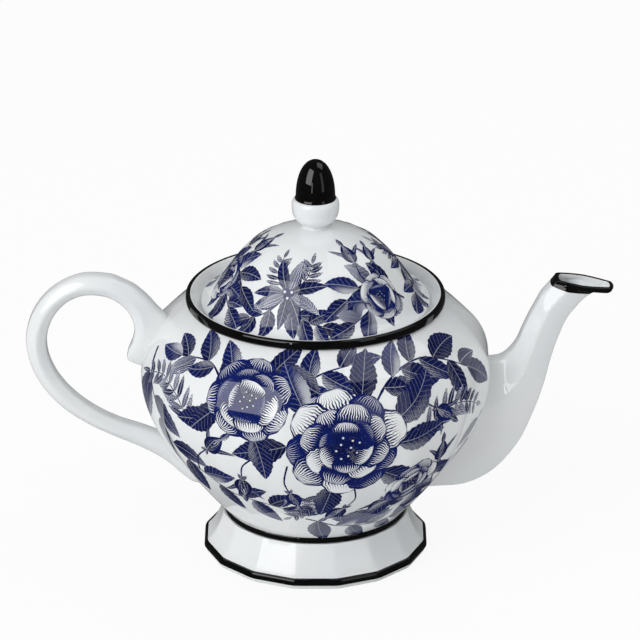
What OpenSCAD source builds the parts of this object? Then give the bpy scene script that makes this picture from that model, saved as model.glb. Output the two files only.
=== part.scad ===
// Panelled porcelain teapot: sixteen-sided bowl on a flared foot, faceted gooseneck spout, ring
// handle with a thumb spur, and a lift-off ogee lid with an egg-in-cup knob.
// Frame: millimetres, +Z up, origin on the bowl's axis at the plane that the foot stands on.
// The spout points to +X and the handle to -X.

/* [Panels] */
// Number of panels round the bowl, foot and lid
panels = 16; // [12:2:20]
// Share of each ridge's height that is left after softening
ridge_keep = 0.7; // [0.3:0.05:1]

/* [Bowl] */
// Radius at the middle of a panel at the widest height
belly_r = 75.2; // [68:0.2:82]
// Height from the foot's joint up to the neck under the rim band
bowl_h = 94.4; // [85:0.2:105]
// Radius of the bowl where it stands on the foot
base_r = 40.2; // [37:0.2:44]
// Radius of the neck, where the rim band starts
neck_r = 54.8; // [51:0.2:58]
// Thickness of the bowl's wall
wall = 3.2; // [2.4:0.1:4]
// Thickness of the bowl's floor
floor_t = 4; // [3:0.1:6]

/* [Rim and lid seat] */
// Radius of the throat that the lid's flange drops into
throat_r = 45.2; // [42:0.1:46.5]
// Depth from the top of the rim down to the ledge that carries the lid
seat_depth = 4.4; // [3.5:0.1:5.5]
// Thickness of the ledge
ledge_t = 3.4; // [2.5:0.1:4.5]
// Height of the black rim band
rim_band_h = 4; // [3:0.1:5]
// How far the rim band stands out past the neck
rim_band_out = 1.2; // [0.8:0.1:2]
// Radial thickness of the rim band
rim_band_t = 2; // [1.6:0.1:2.6]

/* [Foot] */
// Radius of the foot at the middle of a panel, at its edge
foot_r = 48.8; // [45:0.1:54]
// Height of the foot, from the table to the bowl's underside
foot_h = 21; // [18:0.1:25]
// Thickness of the foot's wall
foot_wall = 5; // [4:0.1:6]
// Height of the bare clay ring that the foot stands on
foot_ring_h = 1.9; // [1:0.1:2.4]
// Height of the black band round the foot's edge
foot_band_h = 3.1; // [2.4:0.1:4]
// Radial thickness of the black band round the foot's edge
foot_band_t = 2.4; // [2:0.1:2.8]
// Height of the black bead at the waist
waist_h = 3; // [2:0.1:4]
// How far the waist bead stands out past the neck of the foot
waist_out = 1.7; // [1.2:0.1:2.4]

/* [Strainer] */
// Diameter of each pierced hole behind the spout
strainer_d = 4.2; // [4:0.1:4.6]
// Distance between neighbouring holes
strainer_pitch = 6.2; // [5.8:0.1:6.6]

/* [Spout] */
// Reach of the spout's pouring tip from the bowl's axis
spout_reach = 128.5; // [122:0.2:138]
// Height of the mouth's inner end above the top of the rim
spout_rise = 6.7; // [4:0.1:12]
// Half the width of the spout at its root
spout_root_w = 13; // [11:0.1:15]
// Half the width of the spout at its neck
spout_neck_w = 7.2; // [6.6:0.1:9]
// Thickness of the spout's wall
spout_wall = 1.8; // [1.4:0.1:2.2]
// Height of the black lip band at the spout's mouth
spout_lip_h = 2.7; // [2:0.1:4]

/* [Handle] */
// Reach of the handle's outermost point from the bowl's axis
handle_reach = 125; // [118:0.2:135]
// Thickness of the handle, measured across the ring
handle_t = 9.2; // [8:0.1:11]
// Width of the handle between its two side ridges
handle_w = 12.4; // [10:0.1:15]
// Share of the handle's width that its flat outer and inner faces take
handle_flat = 0.5; // [0.3:0.05:0.7]

/* [Lid] */
// Gap between the lid's edge and the wall of the seat
lid_gap = 0.9; // [0.5:0.1:1.5]
// Gap between the lid's flange and the throat
flange_gap = 0.8; // [0.4:0.1:1.2]
// Height of the lid from its seat to the pad under the knob
lid_h = 35; // [30:0.2:42]
// Thickness of the lid's edge
lid_edge_t = 1.7; // [1.4:0.1:2.2]
// Thickness of the lid's wall
lid_wall = 3; // [2.4:0.1:3.6]
// Depth of the lid's flange below the seat
flange_depth = 9; // [6:0.1:13]
// Thickness of the lid's flange
flange_t = 2.6; // [2:0.1:3.2]
// Diameter of the steam hole in the lid
vent_d = 3; // [2.5:0.1:4]
// Distance of the steam hole from the lid's axis
vent_out = 20; // [17:0.2:24]

/* [Knob] */
// Radius of the knob's neck where it stands on the lid
knob_neck_r = 5; // [4:0.1:6]
// Radius of the knob's cup
cup_r = 10.2; // [9:0.1:12]
// Height of the cup, from the lid's pad to the egg's base
cup_h = 12.6; // [10.5:0.1:15]
// Radius of the black egg at its base
egg_r = 8.4; // [7.4:0.1:8.8]
// Height of the black egg
egg_h = 17.5; // [15:0.1:22]

/* [Hidden] */

round_fn = 96;
curve_n = 9;
ridge_factor = 1 / cos(180 / panels);
far = 400;

// Heights of the main joints, from the table up
base_z = foot_h;
neck_z = base_z + bowl_h;
rim_z = neck_z + rim_band_h;
seat_z = rim_z - seat_depth;
belly_z = base_z + 0.685 * bowl_h;

// The outlines of the spout and the handle are drawn on a bowl this high, and follow its height
drawn_bowl_h = 94.4;
up = bowl_h / drawn_bowl_h;
lid_top_z = seat_z + lid_h;
egg_z = lid_top_z + cup_h;

// Radii at the rim and the lid's seat
rim_out_r = neck_r + rim_band_out;
lip_r = rim_out_r - rim_band_t;
lid_r = throat_r + 4.1;
seat_r = lid_r + lid_gap;
flange_r = throat_r - flange_gap;
flange_in_r = flange_r - flange_t;
foot_neck_r = base_r - 1.6;

function bezier(a, b, c, d, n = curve_n) = [
    for (i = [0:n])
        let (t = i / n, s = 1 - t)
            s * s * s * a + 3 * s * s * t * b + 3 * s * t * t * c + t * t * t * d
];

// Catmull-Rom value at t (0 to 1) through a list of equally spaced points or numbers
function clamped(list, i) = list[max(0, min(len(list) - 1, i))];
function through(list, t) =
    let (
        f = t * (len(list) - 1),
        i = max(0, min(floor(f), len(list) - 2)),
        u = f - i,
        p0 = clamped(list, i - 1),
        p1 = list[i],
        p2 = list[i + 1],
        p3 = clamped(list, i + 2)
    )
    0.5 * (2 * p1 + u * (p2 - p0) + u * u * (2 * p0 - 5 * p1 + 4 * p2 - p3)
        + u * u * u * (3 * p1 - p0 - 3 * p2 + p3));

// ---------- panelled forms ----------

// The solid inside a ring of flat-sided panels: each pair of opposite panels is one extrusion of
// the half profile [radius, height] and its mirror image, and the solid is what they all share.
module panelled(half_profile) {
    n = len(half_profile);
    outline = concat(half_profile,
        [for (i = [n - 1:-1:0]) if (half_profile[i][0] > 0) [-half_profile[i][0], half_profile[i][1]]]);
    intersection_for (i = [0:panels / 2 - 1])
        rotate([90, 0, i * 360 / panels])
            linear_extrude(height = far, center = true)
                polygon(outline);
}

// The solid that trims the ridges between panels: a wider panelled form turned by half a panel. It
// closes in on the panels over the first and the last stretch of the height, so the ridges fade out.
module ridge_trim(half_profile, low_z, low_fade, high_fade, high_z) {
    fade = [[low_z, 0.1], [low_z + low_fade, ridge_keep], [high_z - high_fade, ridge_keep], [high_z, 0.1]];
    rotate([0, 0, 180 / panels])
        panelled([for (p = half_profile) [p[0] * (1 + (ridge_factor - 1) * lookup(p[1], fade)), p[1]]]);
}

module turned(half_profile) {
    rotate_extrude($fn = round_fn)
        polygon(half_profile);
}

module ring(out_r, in_r, low_z, high_z) {
    turned([[in_r, low_z], [out_r, low_z], [out_r, high_z], [in_r, high_z]]);
}

// ---------- bowl ----------

bowl_lower = bezier([base_r, base_z], [base_r + 15, base_z + 18],
                    [belly_r, belly_z - 25], [belly_r, belly_z]);
bowl_upper = bezier([belly_r, belly_z], [belly_r, belly_z + 16],
                    [neck_r + 7, neck_z - 6.8], [neck_r, neck_z]);

function tail(list) = [for (i = [1:len(list) - 1]) list[i]];

bowl_side = concat(bowl_lower, tail(bowl_upper));
bowl_profile = concat([[0, base_z]], bowl_side, [[0, neck_z]]);

// Outside of the bowl as a filled solid; the spout and the handle are cut to it
module bowl_form() {
    intersection() {
        panelled(bowl_profile);
        ridge_trim(bowl_profile, base_z, 14, 16, neck_z);
    }
}

inner_floor_z = base_z + floor_t;
throat_low_z = seat_z - ledge_t;
bowl_inside = concat(
    [[0, inner_floor_z]],
    bezier([base_r - 6, inner_floor_z], [base_r + 11, base_z + 19],
           [belly_r - wall, belly_z - 27], [belly_r - wall, belly_z]),
    tail(bezier([belly_r - wall, belly_z], [belly_r - wall, belly_z + 13],
                [neck_r + 5, throat_low_z - 1], [throat_r - 0.2, throat_low_z])),
    [[0, throat_low_z]]);

module strainer_holes() {
    rows = 5;
    for (row = [0:rows - 1], col = [0:1 + row % 2]) {
        y = (col - (1 + row % 2) / 2) * strainer_pitch;
        z = base_z + 0.27 * bowl_h + row * strainer_pitch;
        translate([0, y, z])
            rotate([0, 90, 0])
                cylinder(d = strainer_d, h = belly_r + 20, $fn = 32);
    }
}

module bowl() {
    color("white")
    difference() {
        union() {
            bowl_form();
            // lip that the rim band is fired onto
            ring(lip_r, throat_r, seat_z - 1, rim_z - 0.4);
        }
        turned(bowl_inside);
        // throat, ledge and the sloping wall of the seat
        translate([0, 0, throat_low_z - 1])
            cylinder(r = throat_r, h = 20, $fn = round_fn);
        turned([[0, seat_z], [seat_r, seat_z], [seat_r + 0.5, seat_z + 1.2],
                [lip_r - 0.5, rim_z], [lip_r - 0.5, rim_z + 5], [0, rim_z + 5]]);
        strainer_holes();
    }
}

module rim_band() {
    low = neck_z;
    soft = 0.9;
    color("#111111")
        turned([[lip_r, low], [rim_out_r - soft, low], [rim_out_r, low + soft],
                [rim_out_r, rim_z - soft * 1.3], [rim_out_r - soft, rim_z - 0.1],
                [lip_r + 0.6, rim_z], [lip_r, rim_z - 0.3]]);
}

// ---------- foot ----------

foot_shoulder_z = foot_h - waist_h;
foot_band_z = foot_ring_h;
foot_flare = bezier([foot_r - 1.5, foot_band_z + foot_band_h], [foot_r - 3.6, foot_band_z + foot_band_h + 1.7],
                    [base_r + 1.6, foot_shoulder_z - 5.5], [base_r + 0.2, foot_shoulder_z], 6);
foot_inside = concat([[0, -1], [foot_r - foot_wall - 1, -1], [foot_r - foot_wall - 1.2, foot_band_z + foot_band_h]],
    [[foot_neck_r - foot_wall, foot_shoulder_z - 1], [foot_neck_r - foot_wall, foot_h + 1], [0, foot_h + 1]]);

module foot() {
    core_r = foot_r - foot_band_t;
    band_top = foot_band_z + foot_band_h;
    color("white")
    difference() {
        union() {
            panelled([[0, 0], [core_r + 1, 0], [core_r + 1.5, 0.5], [core_r + 1.5, foot_band_z], [0, foot_band_z]]);
            panelled([[0, 0], [core_r, 0], [core_r, band_top + 0.5], [0, band_top + 0.5]]);
            panelled(concat([[0, band_top]], foot_flare, [[0, foot_shoulder_z]]));
            translate([0, 0, foot_shoulder_z - 1])
                cylinder(r = foot_neck_r, h = waist_h + 1, $fn = round_fn);
        }
        turned(foot_inside);
    }
}

module foot_band() {
    core_r = foot_r - foot_band_t;
    top = foot_band_z + foot_band_h;
    color("#111111")
    difference() {
        panelled([[0, foot_band_z], [foot_r - 0.2, foot_band_z], [foot_r, foot_band_z + 0.5],
                  [foot_r - 1.1, top - 0.4], [foot_r - 1.5, top], [0, top]]);
        panelled([[0, -1], [core_r, -1], [core_r, top + 1], [0, top + 1]]);
    }
}

module waist_band() {
    r = foot_neck_r + waist_out;
    color("#111111")
        turned([[foot_neck_r, foot_shoulder_z], [r - 0.7, foot_shoulder_z], [r, foot_shoulder_z + 0.8],
                [r, foot_h - 0.8], [r - 0.7, foot_h], [foot_neck_r, foot_h]]);
}

// ---------- swept pieces: handle and spout ----------

// Six-sided section with gently bowed faces, as [across, along] shares from -1 to 1. The ridges
// at [+-1, 0] are the side ridges; flat is the share of the width that the end faces take.
function six_sided(flat, bow, steps) =
    let (corners = [[1, 0], [flat, 1], [-flat, 1], [-1, 0], [-flat, -1], [flat, -1]])
    [for (i = [0:5], k = [0:steps - 1])
        let (a = corners[i], b = corners[(i + 1) % 6], t = k / steps,
             p = a + t * (b - a), side = [b[1] - a[1], a[0] - b[0]])
            [p[0] + 4 * t * (1 - t) * bow * side[0], (p[1] + 4 * t * (1 - t) * bow * side[1]) / (1 + bow)]];

// Skin between two edges in the XZ plane. stations lists [first edge, second edge, half width,
// section]; walking the stations and seen from the front, the first edge is on the right.
function station_ring(s, inset) =
    let (mid = (s[0] + s[1]) / 2, half = (s[0] - s[1]) / 2, len_half = norm(half),
         dir = half / len_half, h = len_half - inset, w = s[2] - inset)
    [for (q = s[3]) [mid[0] + dir[0] * q[1] * h, q[0] * w, mid[1] + dir[1] * q[1] * h]];

module skin(stations, inset = 0) {
    m = len(stations[0][3]);
    n = len(stations);
    points = [for (s = stations) each station_ring(s, inset)];
    sides = [for (i = [0:n - 2], k = [0:m - 1])
        let (a = i * m + k, b = i * m + (k + 1) % m)
            each [[a, b, b + m], [a, b + m, a + m]]];
    start = [for (k = [m - 1:-1:0]) k];
    end = [for (k = [0:m - 1]) (n - 1) * m + k];
    polyhedron(points, concat(sides, [start, end]), convexity = 6);
}

// ---------- spout ----------

mouth_x = spout_reach;
mouth_z = rim_z + spout_rise;
bowl_mid_z = base_z + 0.4 * bowl_h;

// Upper and lower edge of the spout, from inside the bowl's wall to the mouth. The last two
// stretches are the lip band.
spout_upper = [[belly_r - 15, base_z + 65.6 * up], [belly_r - 5.5, base_z + 66.6 * up],
               [belly_r + 1, base_z + 67.2 * up], [belly_r + 5.5, base_z + 68.4 * up],
               [belly_r + 9.2, base_z + 71.8 * up], [belly_r + 12.1, base_z + 76.4 * up],
               [belly_r + 14.3, base_z + 82 * up], [belly_r + 16.8, base_z + 87.8 * up],
               [belly_r + 19.7, base_z + 93.6 * up], [belly_r + 21.9, base_z + 97.8 * up],
               [mouth_x - 26, mouth_z] - spout_lip_h * [0.72, 1],
               [mouth_x - 26, mouth_z] - spout_lip_h * [0.32, 0.42], [mouth_x - 26, mouth_z]];
spout_lower = [[belly_r - 42.5, base_z + 6.6 * up], [belly_r - 23.5, base_z + 7.5 * up],
               [belly_r - 9.5, base_z + 8.9 * up], [belly_r + 2.7, base_z + 15.6 * up],
               [belly_r + 12.9, base_z + 28.1 * up], [belly_r + 18.8, base_z + 41.1 * up],
               [belly_r + 23.5, base_z + 54.9 * up], [belly_r + 26.8, base_z + 68.6 * up],
               [belly_r + 30.1, base_z + 79.1 * up], [belly_r + 34.1, base_z + 88.9 * up],
               [mouth_x, mouth_z - 3.9] - spout_lip_h * [3.1, 1],
               [mouth_x, mouth_z - 3.9] - spout_lip_h * [0.6, 0.9], [mouth_x, mouth_z - 3.9]];
lip_from = 1 - 2 / (len(spout_upper) - 1);

function spout_stations(from, to, n) = [
    for (i = [0:n])
        let (t = from + (to - from) * i / n, w = spout_neck_w + (spout_root_w - spout_neck_w) * pow(1 - t, 2))
            [through(spout_lower, t), through(spout_upper, t), w, six_sided(0.35 + 0.15 * t, 0.06 + 0.11 * t, 4)]
];

module spout() {
    color("white")
    difference() {
        skin(spout_stations(0, lip_from, 30));
        skin(spout_stations(-0.02, lip_from + 0.03, 32), spout_wall);
        bowl_form();
    }
}

module spout_lip_band() {
    color("#111111")
    difference() {
        skin(spout_stations(lip_from, 1, 6));
        skin(spout_stations(lip_from - 0.02, 1.02, 10), spout_wall);
    }
}

// ---------- handle ----------

// Outer and inner edge of the ring, from the upper root round to the lower root. The inner edge
// leaves the bowl under the root, turns at the thumb spur and then runs round the finger gap.
handle_x = -handle_reach;
drawn_handle_t = 9.2;
handle_outer = [[handle_x + 71, base_z + 78 * up], [handle_x + 64, base_z + 83.5 * up],
                [handle_x + 61.3, base_z + 86.5 * up], [handle_x + 58.8, base_z + 89.4 * up],
                [handle_x + 56.4, base_z + 92 * up], [handle_x + 52.4, base_z + 96.6 * up],
                [handle_x + 47.4, base_z + 101 * up], [handle_x + 41.9, base_z + 103.9 * up],
                [handle_x + 35.9, base_z + 106 * up], [handle_x + 23.8, base_z + 106.1 * up],
                [handle_x + 12.1, base_z + 100.3 * up], [handle_x + 3.9, base_z + 90.7 * up],
                [handle_x, base_z + 78.7 * up], [handle_x + 1.3, base_z + 66.3 * up],
                [handle_x + 6.5, base_z + 54.8 * up], [handle_x + 14.7, base_z + 45.1 * up],
                [handle_x + 24.9, base_z + 37.6 * up], [handle_x + 36.1, base_z + 31.7 * up],
                [handle_x + 47.6, base_z + 26.5 * up], [handle_x + 58.6, base_z + 20.2 * up],
                [handle_x + 67.9, base_z + 11.9 * up], [handle_x + 71.2, base_z + 9.2 * up],
                [handle_x + 75.5, base_z + 8.4 * up]];
handle_inner = [[handle_x + 60, base_z + 60 * up], [handle_x + 50, base_z + 64 * up],
                [handle_x + 44, base_z + 66.8 * up], [handle_x + 43.9, base_z + 71 * up],
                [handle_x + 46, base_z + 76.4 * up], [handle_x + 46.8, base_z + 82.6 * up],
                [handle_x + 44.6, base_z + 89 * up], [handle_x + 39.9, base_z + 94 * up],
                [handle_x + 33.6, base_z + 96.9 * up], [handle_x + 25.1, base_z + 97.2 * up],
                [handle_x + 17.5, base_z + 93.6 * up], [handle_x + 11.8, base_z + 86.6 * up],
                [handle_x + 9, base_z + 77.6 * up], [handle_x + 9.7, base_z + 68.4 * up],
                [handle_x + 13.7, base_z + 59.2 * up], [handle_x + 20.4, base_z + 50.9 * up],
                [handle_x + 29, base_z + 44 * up], [handle_x + 39.1, base_z + 38.6 * up],
                [handle_x + 50.5, base_z + 34.6 * up], [handle_x + 62.5, base_z + 29.2 * up],
                [handle_x + 71.7, base_z + 20.3 * up], [handle_x + 76, base_z + 16 * up],
                [handle_x + 80, base_z + 14 * up]];

function handle_stations(n) = [
    for (i = [0:n])
        let (t = i / n, outer = through(handle_outer, t))
            [outer, outer + (through(handle_inner, t) - outer) * handle_t / drawn_handle_t, handle_w / 2,
             six_sided(handle_flat, 0.04, 3)]
];

module handle() {
    color("white")
    difference() {
        skin(handle_stations(88));
        bowl_form();
    }
}

// ---------- lid ----------

lid_bend = [lid_r - 14, seat_z + 17.1];
lid_flare = bezier([lid_r - 0.2, seat_z + lid_edge_t], [lid_r - 5, seat_z + 2.9],
                   [lid_r - 6.7, seat_z + 7.2], lid_bend, 8);
lid_crown = bezier(lid_bend, lid_bend + [-3.6, 4.6], [lid_r - 22, lid_top_z - 4.6],
                   [knob_neck_r + 0.5, lid_top_z], 8);
lid_profile = concat([[0, seat_z], [lid_r - 0.2, seat_z], [lid_r, seat_z + 0.4], [lid_r, seat_z + lid_edge_t - 0.5]],
                     lid_flare, tail(lid_crown), [[0, lid_top_z]]);
lid_inside = concat([[0, seat_z - 1], [flange_in_r, seat_z - 1]],
    bezier([flange_in_r, seat_z], [flange_in_r - 1, seat_z + 4],
           [lid_bend[0] - lid_wall + 3, lid_bend[1] - 6], lid_bend - [lid_wall, 1.6], 5),
    tail(bezier(lid_bend - [lid_wall, 1.6], lid_bend - [lid_wall + 3, -3], [lid_r - 24, lid_top_z - lid_wall - 3.6],
                [0, lid_top_z - lid_wall - 0.5], 7)));

module lid_dome() {
    color("white")
    difference() {
        intersection() {
            panelled(lid_profile);
            ridge_trim(lid_profile, seat_z + 1, 9, 10, lid_top_z);
        }
        turned(lid_inside);
        // steam hole, at the back of the lid
        translate([0, vent_out, seat_z + lid_wall])
            cylinder(d = vent_d, h = lid_h, $fn = 24);
    }
}

module lid_flange() {
    soft = 0.6;
    low = seat_z - flange_depth;
    color("white")
        turned([[flange_in_r, low + soft], [flange_in_r + soft, low], [flange_r - soft, low],
                [flange_r, low + soft], [flange_r, seat_z], [flange_in_r, seat_z]]);
}

// ---------- knob ----------

cup_side = concat(
    bezier([knob_neck_r + 0.4, lid_top_z], [knob_neck_r, lid_top_z + 0.5],
           [knob_neck_r + 0.2, lid_top_z + 1], [knob_neck_r + 0.8, lid_top_z + 1.4], 4),
    tail(bezier([knob_neck_r + 0.8, lid_top_z + 1.4], [knob_neck_r + 3.4, lid_top_z + 3],
                [cup_r, egg_z - 7.6], [cup_r, egg_z - 3], 6)),
    tail(bezier([cup_r, egg_z - 3], [cup_r, egg_z - 1.4], [cup_r - 0.5, egg_z - 0.4],
                [egg_r + 0.6, egg_z], 4)));

module knob_cup() {
    color("white")
        turned(concat([[0, lid_top_z]], cup_side, [[0, egg_z]]));
}

module knob_tip() {
    color("#0b0b0b")
        turned(concat([[0, egg_z], [egg_r + 0.4, egg_z], [egg_r + 0.5, egg_z + 0.3]],
            bezier([egg_r + 0.1, egg_z + 1.2], [egg_r, egg_z + egg_h * 0.66],
                   [egg_r * 0.56, egg_z + egg_h], [0, egg_z + egg_h], 12)));
}

bowl();
foot();
spout();
handle();
rim_band();
waist_band();
foot_band();
spout_lip_band();
lid_dome();
lid_flange();
knob_cup();
knob_tip();
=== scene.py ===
"""Panelled porcelain teapot with a blue printed decoration and black glazed bands.

The bowl and the lid are cast bodies whose sixteen panels fade into round edges. The foot, spout, handle
and knob are stuck on before firing, the print is laid on the glaze as cut transfer sheets, and the bands
are painted last.
"""

import math
import random

import bmesh
import bpy
import numpy as np
from mathutils import Matrix, Vector


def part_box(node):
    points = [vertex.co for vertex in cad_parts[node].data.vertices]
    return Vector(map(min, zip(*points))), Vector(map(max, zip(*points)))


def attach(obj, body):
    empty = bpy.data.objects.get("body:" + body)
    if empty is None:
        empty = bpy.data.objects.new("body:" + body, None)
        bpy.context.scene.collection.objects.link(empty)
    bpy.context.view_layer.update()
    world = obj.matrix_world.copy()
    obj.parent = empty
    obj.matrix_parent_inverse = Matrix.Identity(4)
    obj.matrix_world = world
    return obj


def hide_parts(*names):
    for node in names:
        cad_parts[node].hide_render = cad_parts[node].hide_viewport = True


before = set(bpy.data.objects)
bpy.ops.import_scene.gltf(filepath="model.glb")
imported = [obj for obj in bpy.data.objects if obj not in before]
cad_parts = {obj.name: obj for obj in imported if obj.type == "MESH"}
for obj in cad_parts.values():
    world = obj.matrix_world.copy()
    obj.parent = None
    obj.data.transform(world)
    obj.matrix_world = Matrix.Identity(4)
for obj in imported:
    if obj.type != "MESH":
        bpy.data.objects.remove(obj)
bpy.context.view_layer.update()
scene = bpy.context.scene
mm = 0.001


# ---------- camera ----------
# A long lens looks down at the pot from the front, square to its side, so that the handle is on the left
# and the spout on the right.

view_tilt = math.radians(23.02)
view_distance = 1.944
view_target = Vector((0.00194, 0, 0.10597))

camera = bpy.data.objects.new("camera", bpy.data.cameras.new("camera"))
scene.collection.objects.link(camera)
camera.location = view_target + view_distance * Vector((0, -math.cos(view_tilt), math.sin(view_tilt)))
camera.rotation_euler = (math.pi / 2 - view_tilt, 0, 0)
camera.data.sensor_width = 36
camera.data.lens = 253.125
camera.data.clip_end = 20
scene.camera = camera
scene.view_settings.view_transform = "Standard"


# ---------- porcelain ----------
# White porcelain under a clear glossy glaze. The glaze is a little uneven, as poured glaze is, and the
# white is very slightly warmer and cooler from place to place.


class Wire:
    """The output of a node. Sums written on wires add the Math nodes that work them out."""

    def __init__(self, tree, socket):
        self.tree = tree
        self.socket = socket

    def math(self, operation, *others):
        return self.tree.math(operation, self, *others)

    def __add__(self, other):
        return self.math("ADD", other)

    def __sub__(self, other):
        return self.math("SUBTRACT", other)

    def __mul__(self, other):
        return self.math("MULTIPLY", other)

    def __truediv__(self, other):
        return self.math("DIVIDE", other)

    def __rsub__(self, other):
        return self.tree.math("SUBTRACT", other, self)

    def __rtruediv__(self, other):
        return self.tree.math("DIVIDE", other, self)

    def __mod__(self, other):
        return self.math("FLOORED_MODULO", other)

    def __abs__(self):
        return self.math("ABSOLUTE")

    def __gt__(self, other):
        return self.math("GREATER_THAN", other)

    def __lt__(self, other):
        return self.math("LESS_THAN", other)

    __radd__ = __add__
    __rmul__ = __mul__

    def lower(self, other):
        return self.math("MINIMUM", other)

    def higher(self, other):
        return self.math("MAXIMUM", other)

    def ramp(self, low, high, start=0.0, end=1.0):
        """Eases from start to end as this wire goes from low to high."""
        return self.tree.node("ShaderNodeMapRange", {"interpolation_type": "SMOOTHSTEP"}, {
            "Value": self, "From Min": low, "From Max": high, "To Min": start, "To Max": end})[0]

    def stripes(self, pitch):
        """Runs from 0 on each line to 1 midway between two lines, with a line every pitch."""
        return abs(((self / pitch) % 1.0) * 2 - 1)


def socket_of(sockets, key):
    """The socket in use that has this number or name."""
    used = [s for s in sockets if s.enabled]
    return used[key] if isinstance(key, int) else next(s for s in used if s.name == key)


class Made:
    """A node that has been added; its outputs are read by number or by name."""

    def __init__(self, tree, node):
        self.tree = tree
        self.node = node

    def __getitem__(self, key):
        return Wire(self.tree, socket_of(self.node.outputs, key))


class Tree:
    """A shader or geometry node tree that is written as calls and sums."""

    def __init__(self, node_tree):
        self.nodes = node_tree.nodes
        self.links = node_tree.links
        self.nodes.clear()

    def node(self, kind, settings=None, values=None):
        """Adds a node: its settings first, then a value or a wire for each input that is named."""
        node = self.nodes.new(kind)
        for name, setting in (settings or {}).items():
            setattr(node, name, setting)
        for key, value in (values or {}).items():
            socket = socket_of(node.inputs, key)
            if isinstance(value, Wire):
                self.links.new(value.socket, socket)
            else:
                socket.default_value = value
        return Made(self, node)

    def math(self, operation, *values):
        return self.node("ShaderNodeMath", {"operation": operation}, dict(enumerate(values)))[0]

    def parts(self, vector):
        """The x, y and z of a vector."""
        made = self.node("ShaderNodeSeparateXYZ", values={0: vector})
        return made[0], made[1], made[2]

    def vector(self, *parts):
        return self.node("ShaderNodeCombineXYZ", values=dict(enumerate(parts)))[0]

    def noise(self, scale, detail):
        """Cloudy noise that is fixed to the piece, with about scale clouds to the metre."""
        place = self.node("ShaderNodeTexCoord")["Object"]
        return self.node("ShaderNodeTexNoise", values={"Vector": place, "Scale": scale, "Detail": detail})[0]

    def blend(self, share, first, second):
        values = {"Factor": share, "A": first, "B": second}
        return self.node("ShaderNodeMix", {"data_type": "RGBA"}, values)["Result"]


def material_tree(name):
    material = bpy.data.materials.new(name)
    material.use_nodes = True
    return material, Tree(material.node_tree)


porcelain_white = (0.80, 0.812, 0.812, 1)
porcelain_cool = (0.765, 0.785, 0.795, 1)
black_deep, black_thin = (0.001, 0.001, 0.001, 1), (0.003, 0.003, 0.003, 1)


def glaze(tree, colour, roughness=0.3):
    """Glossy clear coat over a coloured body, with the slight swell of poured glaze."""
    swell = tree.noise(38.0, 1.5)
    bump = tree.node("ShaderNodeBump", values={"Strength": 0.12, "Distance": 0.0006, "Height": swell})[0]
    shader = tree.node("ShaderNodeBsdfPrincipled", values={
        "Base Color": colour, "Roughness": roughness, "Normal": bump,
        "Coat Weight": 1.0, "Coat Roughness": 0.02, "Coat IOR": 1.55, "Specular IOR Level": 0.0})
    tree.node("ShaderNodeOutputMaterial", values={"Surface": shader[0]})


def glaze_tint(tree):
    """The white under the glaze, in soft clouds of its two tints."""
    return tree.blend(tree.noise(22.0, 3.0).ramp(0.35, 0.7), porcelain_white, porcelain_cool)


white_porcelain, tree = material_tree("white_porcelain")
glaze(tree, glaze_tint(tree))

black_glaze, tree = material_tree("black_glaze")
glaze(tree, tree.blend(tree.noise(60.0, 2.0).ramp(0.3, 0.7), black_deep, black_thin), 0.4)


# ---------- turned and panelled forms ----------
# Round bodies are turned from a half profile. The panelled ones are then pressed by a geometry tree that
# draws the round wall in to flat panels and rounds the ridges between them.


def bezier(a, b, c, d, steps):
    """A curve from a to d that sets out towards b and comes in from c."""
    t = np.linspace(0, 1, steps + 1)[:, None]
    a, b, c, d = (np.array(p, float) for p in (a, b, c, d))
    return (1 - t) ** 3 * a + 3 * (1 - t) ** 2 * t * b + 3 * (1 - t) * t * t * c + t ** 3 * d


def soft_path(*stretches):
    """Joins points and lists of points into one path, without doubled points."""
    points = np.vstack([np.atleast_2d(np.array(s, float)) for s in stretches])
    keep = [0] + [i for i in range(1, len(points)) if np.linalg.norm(points[i] - points[i - 1]) > 0.02]
    return points[keep]


sharp_from = 0.6


def mesh_object(name, points, faces, material, sharp=sharp_from):
    """An object from points and faces, smooth except where faces meet at more than sharp, in radians."""
    mesh = bpy.data.meshes.new(name)
    mesh.from_pydata([tuple(p) for p in points], [], faces)
    mesh.validate()
    mesh.shade_smooth()
    mesh.set_sharp_from_angle(angle=sharp)
    mesh.materials.append(material)
    obj = bpy.data.objects.new(name, mesh)
    scene.collection.objects.link(obj)
    return obj


def turned(name, profile, material, segments=256):
    """Turns a closed walk of [radius, height] in millimetres, listed anticlockwise seen with +Z up."""
    profile = np.asarray(profile, float)
    turn = np.linspace(0, 2 * math.pi, segments, endpoint=False)
    points, rings = [], []
    for radius, height in profile * mm:
        if radius < 1e-6:
            rings.append([len(points)])
            points.append((0, 0, height))
        else:
            rings.append(list(range(len(points), len(points) + segments)))
            points += [(radius * math.cos(a), radius * math.sin(a), height) for a in turn]
    faces = []
    for low, high in zip(rings, rings[1:] + rings[:1]):
        for i in range(segments):
            k = (i + 1) % segments
            corners = [low[i % len(low)], low[k % len(low)], high[k % len(high)], high[i % len(high)]]
            corners = list(dict.fromkeys(corners))
            if len(corners) > 2:
                faces.append(corners)
    return mesh_object(name, points, faces, material)


def open_group(name, sizes, objects=()):
    """A new geometry group that takes a mesh, objects, named sizes and a material, with its input node."""
    group = bpy.data.node_groups.new(name, "GeometryNodeTree")
    kinds = [("Geometry", "Geometry")] + [(title, "Object") for title in objects]
    kinds += [(title, "Float") for title in sizes] + [("Material", "Material")]
    for title, kind in kinds:
        socket = group.interface.new_socket(title, in_out="INPUT", socket_type="NodeSocket" + kind)
        if title in sizes:
            socket.default_value = sizes[title]
    group.interface.new_socket("Geometry", in_out="OUTPUT", socket_type="NodeSocketGeometry")
    tree = Tree(group)
    return group, tree, tree.node("NodeGroupInput")


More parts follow.
